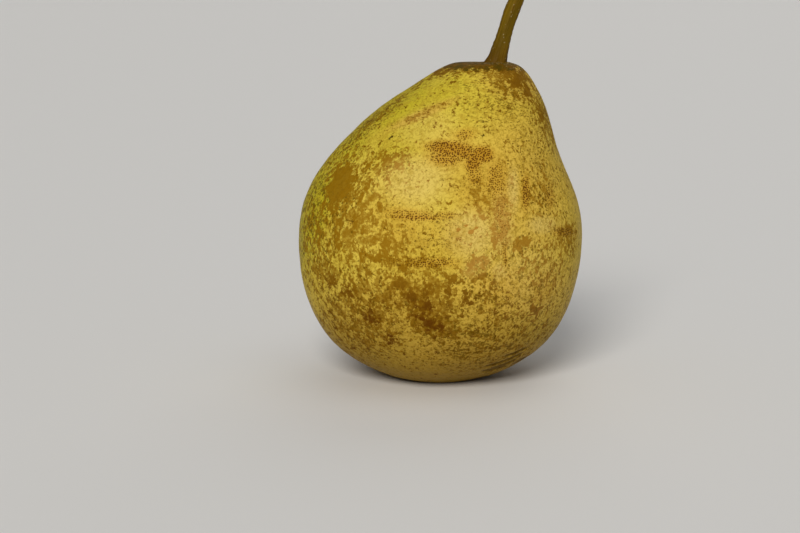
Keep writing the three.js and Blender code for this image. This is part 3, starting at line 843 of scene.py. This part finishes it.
def skin_material():
    t = Tree("pear_skin")
    place = t.place_mm()
    tall = t.squeezed(place, TALL_SHARES)
    mottle = t.noise(place, MOTTLE_SIZE, 4, 0.62)
    fine = t.noise(place, FINE_SIZE, 3, 0.6)
    torn = t.times_add(t.noise(t.jostled(tall, 1.4, 0.5), TEAR_SIZE, 8, 0.72), 5.0, -2.5)

    colour = skin_ground(t, place, tall, mottle, fine)
    colour, patch, brown_skin = with_browns(t, colour, tall, torn, mottle, fine)
    colour = with_spots_and_folds(t, colour, torn)
    colour, specks = with_specks(t, colour, t.vector("weave"), patch, fine)
    colour, close_dots = with_close_dots(t, colour, fine)
    crack = t.step(t.add(t.value("crack"), t.times(torn, 0.6)), 0.62, 0.75)
    colour = t.mix(crack, colour, CRACK_DARK, 0.9)
    flecks = t.times(t.dots(place, FLECK_CELL, 0.36, 0.45), t.value("stem_foot"))
    colour = t.mix(flecks, colour, FLECK, 0.55)

    roughness = t.times_add(fine, 0.10, t.times_add(brown_skin, 0.14, 0.40))
    height = t.times_add(brown_skin, 0.025, t.times(fine, 0.05))
    height = t.times_add(specks, -0.02, height)
    height = t.times_add(close_dots, -0.03, height)
    height = t.times_add(mottle, 0.12, height)
    return t.finish(colour, roughness, SKIN_SPECULAR, height)


# The stem, on the same centreline and radius as the CAD source's.
STEM_LENGTH = 29
STEM_ROOT_LENGTH = 3.4
STEM_LEAN_AT_ROOT = math.radians(14.5)
STEM_LEAN_AT_TIP = math.radians(25)
STEM_BACKWARD = 1.6
STEM_BACKWARD_LATE = 0.4
STEM_RADIUS = 1.82
STEM_FLARE = 1.1
STEM_FLARE_LENGTH = 5
STEM_COLLAR = 0.55
STEM_COLLAR_LENGTH = 1.6
STEM_ROOT_RADIUS = 2.7
STEM_KNOB = 0.8
STEM_KNOB_LENGTH = 8
STEM_KNOB_POWER = 1.6
STEM_RIDGES = 5
STEM_RIDGE_SHARE = 0.05
STEM_RIDGE_TWIST = 1.1

BARK_SIDES = 128
BARK_RINGS = 300
GROOVE_COUNT = 23
GROOVE_DEPTH = 0.04
GROOVE_WANDER = 2.2
SLOW_SHARES = (1, 1, 0.12)
CRUST_LENGTH = 8
CRUST_FULL_LENGTH = 2.5
CRUST_HEIGHT = 0.42
END_ROUNDING = 0.9
END_SHARE = 0.72
END_DIMPLE = 0.5
UNROLLED_RADIUS = 3
FOOT_TINT = (9, 1)
BARK_SPECULAR = 0.08


def spline(points, count):
    """A smooth line through the points, with its ends continued straight."""
    p = np.array(points, float)
    p = np.concatenate([[2 * p[0] - p[1]], p, [2 * p[-1] - p[-2]]])
    pieces = []
    for a, b, c, d in zip(p[:-3], p[1:-2], p[2:-1], p[3:]):
        t = np.linspace(0, 1, 60, endpoint=False)[:, None]
        pieces.append(0.5 * (2 * b + (c - a) * t + (2 * a - 5 * b + 4 * c - d) * t**2
                             + (3 * b - a - 3 * c + d) * t**3))
    return even_steps(np.concatenate(pieces + [p[-2:-1]]), count)


def stem_line(count):
    def way(lean):
        return np.array([math.sin(lean), 0, math.cos(lean)])
    surface = np.array([STEM_X, 0, CROWN_HEIGHT - CAVITY_DEPTH])
    third = STEM_LENGTH / 3
    root = surface - way(STEM_LEAN_AT_ROOT) * STEM_ROOT_LENGTH
    lower = surface + way(STEM_LEAN_AT_ROOT) * third
    upper = lower + way((STEM_LEAN_AT_ROOT + STEM_LEAN_AT_TIP) / 2) * third
    tip = upper + way(STEM_LEAN_AT_TIP) * third
    upper[1] = STEM_BACKWARD * STEM_BACKWARD_LATE
    tip[1] = STEM_BACKWARD
    return spline([root, surface, lower, upper, tip], count)


def stem_directions(line, angle):
    """The way along the line at each ring, and the way outwards at each point of the ring."""
    tangent = unit(np.gradient(line, axis=0))
    through = unit(np.cross([0.0, 1.0, 0.0], tangent))
    across = np.cross(tangent, through)
    cosine, sine = np.cos(angle)[..., None], np.sin(angle)[..., None]
    return tangent, across[:, None] * cosine + through[:, None] * sine


def stem_radius(above):
    """The stem's radius without its ridges, by the distance above the cavity's floor."""
    rising = np.maximum(above, 0)
    radius = STEM_RADIUS + STEM_FLARE * np.exp(-rising / STEM_FLARE_LENGTH)
    radius = radius + STEM_COLLAR * np.exp(-((rising / STEM_COLLAR_LENGTH) ** 2))
    to_tip = np.clip(1 - (STEM_LENGTH - above) / STEM_KNOB_LENGTH, 0, 1)
    radius = radius + STEM_KNOB * to_tip**STEM_KNOB_POWER
    return np.where(above < 0, STEM_ROOT_RADIUS, radius)


def bark_grooves(slow, angle):
    wander = GROOVE_WANDER * waves(slow, 4, 11)
    return np.cos(GROOVE_COUNT * angle + wander) * (0.5 + 0.5 * waves(slow, 3, 12))


def crust_roughness(unrolled, slow):
    rough = 0.5 * waves(unrolled, 1.5, 15, 24) + 0.5 * waves(unrolled, 0.8, 16, 24)
    return rough + 0.6 * np.abs(waves(slow, 1.6, 17, 24)) - 0.5


def make_bark(material):
    line, along = stem_line(BARK_RINGS)
    above = (along - STEM_ROOT_LENGTH)[:, None]
    share = (along / along[-1])[:, None]
    angle = 2 * math.pi * np.arange(BARK_SIDES)[None] / BARK_SIDES
    ridges = np.cos(STEM_RIDGES * angle + STEM_RIDGE_TWIST * share * math.pi)
    unrolled = np.stack(np.broadcast_arrays(
        UNROLLED_RADIUS * np.cos(angle), UNROLLED_RADIUS * np.sin(angle), above), -1)
    slow = unrolled * SLOW_SHARES
    grooves = bark_grooves(slow, angle)
    lumps = 0.10 * waves(unrolled, 7, 13) + 0.035 * waves(unrolled, 1.6, 14)
    crust = smooth_step(STEM_LENGTH - CRUST_LENGTH, STEM_LENGTH - CRUST_FULL_LENGTH, above)
    rough = crust_roughness(unrolled, slow)
    grown = stem_radius(above) * (1 + STEM_RIDGE_SHARE * ridges)
    grown = grown + GROOVE_DEPTH * grooves * (1 - 0.5 * crust) + lumps + CRUST_HEIGHT * crust * rough
    end = smooth_step(STEM_LENGTH, STEM_LENGTH - END_ROUNDING, above)
    grown = grown * (END_SHARE + (1 - END_SHARE) * end)
    tangent, out = stem_directions(line, angle)
    ragged_end = (1 - end) * (0.5 * waves(unrolled, 1.7, 18, 20) + 0.3 * waves(unrolled, 0.9, 19, 20))
    grid = line[:, None] + out * grown[..., None]
    grid += tangent[:, None] * ragged_end[..., None]
    ends = [line[0], line[-1] - tangent[-1] * END_DIMPLE]
    piece = grid_object("stem_bark", grid, material, ends)
    grooved = 0.5 + 0.5 * np.clip(grooves, -1, 1)
    crusted = crust * (0.75 + 0.35 * np.clip(rough, -1, 1))
    foot = np.broadcast_to(smooth_step(*FOOT_TINT, np.maximum(above, 0)), grooved.shape)
    give_values(piece, "groove", grooved, 0, 0)
    give_values(piece, "crust", crusted, 0, 1)
    give_values(piece, "foot", foot, 1, 0)
    give_values(piece, "unrolled", unrolled, unrolled[0].mean(0), unrolled[-1].mean(0))
    seat(piece, "stem")


BARK_OLIVE = (0.115, 0.068, 0.001, 1)
BARK_TAN = (0.190, 0.112, 0.004, 1)
BARK_RED = (0.095, 0.040, 0.001, 1)
BARK_FOOT = (0.105, 0.046, 0.001, 1)
BARK_DARK = (0.030, 0.018, 0.008, 1)
CRUST_TAN = (0.21, 0.13, 0.06, 1)


def bark_material():
    t = Tree("stem_bark")
    unrolled = t.vector("unrolled")
    lengthwise = t.squeezed(unrolled, (1, 1, 0.14))
    streaks = t.noise(lengthwise, 0.9, 6, 0.6)
    broad = t.noise(lengthwise, 2.6, 3)
    speckle = t.noise(unrolled, 0.55, 3, 0.6)
    groove = t.value("groove")
    crust = t.value("crust")
    colour = t.mix(t.step(broad, 0.38, 0.62), BARK_OLIVE, BARK_TAN)
    colour = t.mix(t.step(streaks, 0.52, 0.70, 0, 0.7), colour, BARK_RED)
    colour = t.mix(t.step(groove, 0.35, 0.0), colour, BARK_RED, 0.35)
    colour = t.mix(t.value("foot"), colour, BARK_FOOT, 0.7)
    colour = t.mix(t.step(t.add(crust, t.times(streaks, 0.5)), 0.45, 0.75), colour, BARK_DARK)
    crumbs = t.times(t.step(speckle, 0.55, 0.65), t.step(crust, 0.4, 0.9))
    colour = t.mix(crumbs, colour, CRUST_TAN, 0.8)
    pale = t.dots(t.jostled(unrolled, 1.5, 0.4), 0.9, 0.24, 0.16)
    colour = t.mix(pale, colour, FLECK, 0.35)
    roughness = t.times_add(streaks, 0.25, 0.42)
    height = t.times(streaks, 0.08)
    height = t.times_add(speckle, 0.06, height)
    height = t.times_add(pale, 0.05, height)
    return t.finish(colour, roughness, BARK_SPECULAR, height)


# The dried calyx, on the same cup, sepals and stamens as the CAD source's.
CALYX_ROOT_RADIUS = 2.1
CALYX_ROOT_LENGTH = 2.6
CUP_RADIUS = 2.9
CUP_WALL = 0.9
CUP_RIM_Z = 3.6
CUP_FLOOR_Z = 4.5
CUP_TOP_Z = 5.3
CUP_FLOOR_SHARE = 0.7
SEPAL_COUNT = 5
SEPAL_HALF_WIDTH = 1.75
SEPAL_TIP_SHARE = 0.2
SEPAL_HALF_THICKNESS = 0.36
SEPAL_TURN_SPREAD = 0.25
SEPAL_REACH = (0.94, 1.04)
SEPAL_ROOT = (2.1, 4.3)
SEPAL_BEND = (4.7, 3.9)
SEPAL_TIP = (6.3, 1.0)
STAMEN_COUNT = 9
STAMEN_TIP_RADIUS = 0.32
STAMEN_FOOT_RADIUS = 0.4
STAMEN_FOOT_SINK = 0.4
STAMEN_LENGTH = (1.8, 2.5)
STAMEN_RING_RADIUS = 0.7
STAMEN_TILT = math.radians(24)
CALYX_SEED = 5

CUP_SIDES = 96
SEPAL_RINGS = 46
SEPAL_SIDES = 40
STAMEN_RINGS = 20
STAMEN_SIDES = 14
SEPAL_VEINS = 5
SEPAL_VEIN_HEIGHT = 0.05
SEPAL_CURL = 0.35


def random_stream(seed):
    """The CAD source's stream of numbers from 0 to 1, so that both calyxes match."""
    state = seed
    while True:
        state = (state * 1664525 + 1013904223) % 2**32
        yield state / 2**32


def cup_grid():
    inner = CUP_RADIUS - CUP_WALL
    corners = np.array([
        (0.05, CUP_FLOOR_Z), (inner * CUP_FLOOR_SHARE, CUP_FLOOR_Z), (inner, CUP_RIM_Z),
        (CUP_RADIUS, CUP_RIM_Z), (CUP_RADIUS, CUP_FLOOR_Z), (CALYX_ROOT_RADIUS, CUP_TOP_Z),
        (CALYX_ROOT_RADIUS, CUP_TOP_Z + CALYX_ROOT_LENGTH), (0.05, CUP_TOP_Z + CALYX_ROOT_LENGTH),
    ])
    line, _ = even_steps(corners, 90)
    angle = 2 * math.pi * np.arange(CUP_SIDES)[None] / CUP_SIDES
    radius, height = line[:, :1], line[:, 1:]
    grid = np.stack([radius * np.cos(angle), radius * np.sin(angle), height + 0 * angle], -1)
    folds = 0.06 * np.cos(19 * angle + 3 * height) + 0.05 * waves(grid, 1.3, 31)
    inside = smooth_step(0.05, 0.8, radius) * smooth_step(CUP_TOP_Z + 0.5, CUP_TOP_Z - 0.3, height)
    out = np.stack([np.cos(angle), np.sin(angle), 0 * angle], -1)
    return grid - out * (np.abs(folds) * inside)[..., None]


def turned(out, across, height, turn):
    """Points that lie `out` from the axis and `across` beside it, turned round the axis."""
    return np.stack([
        out * math.cos(turn) - across * math.sin(turn),
        out * math.sin(turn) + across * math.cos(turn),
        height,
    ], -1)


def sepal_grid(turn, reach, seed):
    """A pointed blade that leaves the cup's rim, spreads in the basin and curls at its edges."""
    share = np.linspace(0.004, 0.996, SEPAL_RINGS)[:, None]
    root, bend, tip = (np.array(p) * (reach, 1) for p in (SEPAL_ROOT, SEPAL_BEND, SEPAL_TIP))
    middle = (1 - share) ** 2 * root + 2 * share * (1 - share) * bend + share**2 * tip
    tangent = unit(np.gradient(middle, axis=0))
    angle = 2 * math.pi * np.arange(SEPAL_SIDES)[None] / SEPAL_SIDES
    ends = np.sqrt(np.clip(1 - np.abs(2 * share - 1) ** 8, 0, 1))
    width = SEPAL_HALF_WIDTH * np.maximum(SEPAL_TIP_SHARE, 1 - share**2) * ends
    across = width * np.cos(angle)
    thin = SEPAL_HALF_THICKNESS * (1 - 0.35 * share) * np.sin(angle) * ends
    veins = SEPAL_VEIN_HEIGHT * np.cos(SEPAL_VEINS * math.pi * np.cos(angle)) * np.sin(angle)
    edge = np.cos(angle) ** 2 * share
    lift = thin + veins * ends - SEPAL_CURL * edge * (0.6 + 0.4 * math.sin(seed))
    radius = middle[:, :1] - tangent[:, 1:] * lift
    height = middle[:, 1:] + tangent[:, :1] * lift
    grid = turned(radius, across, height + 0 * angle, turn)
    grid[..., 2] = np.maximum(grid[..., 2] + 0.05 * waves(grid, 1.1, 40 + seed), 0.35)
    return grid


def stamen_grid(turn, spread, length, seed):
    share = np.linspace(0, 1, STAMEN_RINGS)[:, None]
    angle = 2 * math.pi * np.arange(STAMEN_SIDES)[None] / STAMEN_SIDES
    radius = STAMEN_FOOT_RADIUS + (STAMEN_TIP_RADIUS - STAMEN_FOOT_RADIUS) * share
    radius = radius * (0.62 + 0.38 * smooth_step(0.72, 0.9, share)) * (1 - 0.4 * (share > 0.97))
    bow = 0.16 * np.sin(math.pi * share + seed)
    x = radius * np.cos(angle) + bow - 0.16 * math.sin(seed)
    y = radius * np.sin(angle)
    z = -length * share + 0 * angle
    tilt = spread * STAMEN_TILT
    away = spread * STAMEN_RING_RADIUS
    leaning = x * math.cos(tilt) - z * math.sin(tilt) + away
    height = x * math.sin(tilt) + z * math.cos(tilt) + CUP_FLOOR_Z + STAMEN_FOOT_SINK
    return turned(leaning, y, height, turn)


def make_calyx(material):
    stream = random_stream(CALYX_SEED)
    cup_ends = [(0, 0, CUP_FLOOR_Z), (0, 0, CUP_TOP_Z + CALYX_ROOT_LENGTH)]
    parts = [grid_object("cup", cup_grid(), material, cup_ends)]
    for i in range(SEPAL_COUNT):
        turn = 2 * math.pi * (i + SEPAL_TURN_SPREAD * (next(stream) - 0.5)) / SEPAL_COUNT
        reach = SEPAL_REACH[0] + (SEPAL_REACH[1] - SEPAL_REACH[0]) * next(stream)
        parts.append(grid_object("sepal", sepal_grid(turn, reach, i), material))
    golden = math.pi * (3 - math.sqrt(5))
    for i in range(STAMEN_COUNT):
        spread = math.sqrt((i + 0.5) / STAMEN_COUNT)
        length = STAMEN_LENGTH[0] + (STAMEN_LENGTH[1] - STAMEN_LENGTH[0]) * next(stream)
        grid = stamen_grid(i * golden, spread, length, i)
        parts.append(grid_object("stamen", grid, material))
    with bpy.context.temp_override(active_object=parts[0], selected_editable_objects=parts):
        bpy.ops.object.join()
    piece = parts[0]
    piece.name = "dried_calyx"
    seat(piece, "calyx")


CALYX_DARK = (0.018, 0.010, 0.006, 1)
CALYX_BROWN = (0.095, 0.048, 0.018, 1)
CALYX_TAN = (0.20, 0.125, 0.055, 1)
CALYX_SPECULAR = 0.2


def calyx_material():
    t = Tree("dried_calyx")
    place = t.place_mm()
    blotch = t.noise(place, 1.6, 5, 0.6)
    fibre = t.noise(place, 0.4, 4, 0.6)
    colour = t.mix(t.step(blotch, 0.40, 0.62), CALYX_DARK, CALYX_BROWN)
    colour = t.mix(t.step(fibre, 0.52, 0.68), colour, CALYX_TAN, 0.6)
    roughness = t.times_add(fibre, 0.3, 0.6)
    return t.finish(colour, roughness, CALYX_SPECULAR, t.times(fibre, 0.14))


FLOOR_SIDES = 96
FLOOR_RADIUS_M = 6
FLOOR_COLOUR = (0.80, 0.79, 0.77, 1)
FLOOR_ROUGHNESS = 0.7
FLOOR_SPECULAR = 0.2
WORLD_COLOUR = (0.97, 0.98, 1, 1)
WORLD_STRENGTH = 0.17


def make_floor():
    mesh = bpy.data.meshes.new("floor")
    turns = [2 * math.pi * i / FLOOR_SIDES for i in range(FLOOR_SIDES)]
    rim = [(FLOOR_RADIUS_M * math.cos(a), FLOOR_RADIUS_M * math.sin(a), 0) for a in turns]
    mesh.from_pydata(rim, [], [list(range(FLOOR_SIDES))])
    material = Tree("floor").finish(FLOOR_COLOUR, FLOOR_ROUGHNESS, FLOOR_SPECULAR)
    mesh.materials.append(material)
    floor = add_object("floor", mesh)


def make_sun(name, azimuth, elevation, softness, strength, colour):
    """A soft distant light, from an azimuth (0 is the viewer's side) and an elevation, in degrees."""
    data = bpy.data.lights.new(name, "SUN")
    data.angle = math.radians(softness)
    data.energy = strength
    data.color = colour
    light = add_object(name, data)
    turn, rise = math.radians(azimuth), math.radians(elevation)
    towards = (math.sin(turn) * math.cos(rise), -math.cos(turn) * math.cos(rise), math.sin(rise))
    light.rotation_euler = Vector(towards).to_track_quat("Z", "Y").to_euler()


def make_lights():
    make_sun("key", -12, 32, 24, 2.3, (1, 0.98, 0.94))
    make_sun("top", 40, 75, 50, 0.28, (1, 1, 1))
    make_sun("behind", 165, 35, 50, 0.35, (1, 1, 1))
    world = bpy.data.worlds.new("studio")
    world.use_nodes = True
    shade = world.node_tree.nodes["Background"]
    shade.inputs["Color"].default_value = WORLD_COLOUR
    shade.inputs["Strength"].default_value = WORLD_STRENGTH
    bpy.context.scene.world = world


make_camera()
make_floor()
make_lights()
make_skin(skin_material())
make_bark(bark_material())
make_calyx(calyx_material())
bpy.context.scene.view_settings.view_transform = "Standard"
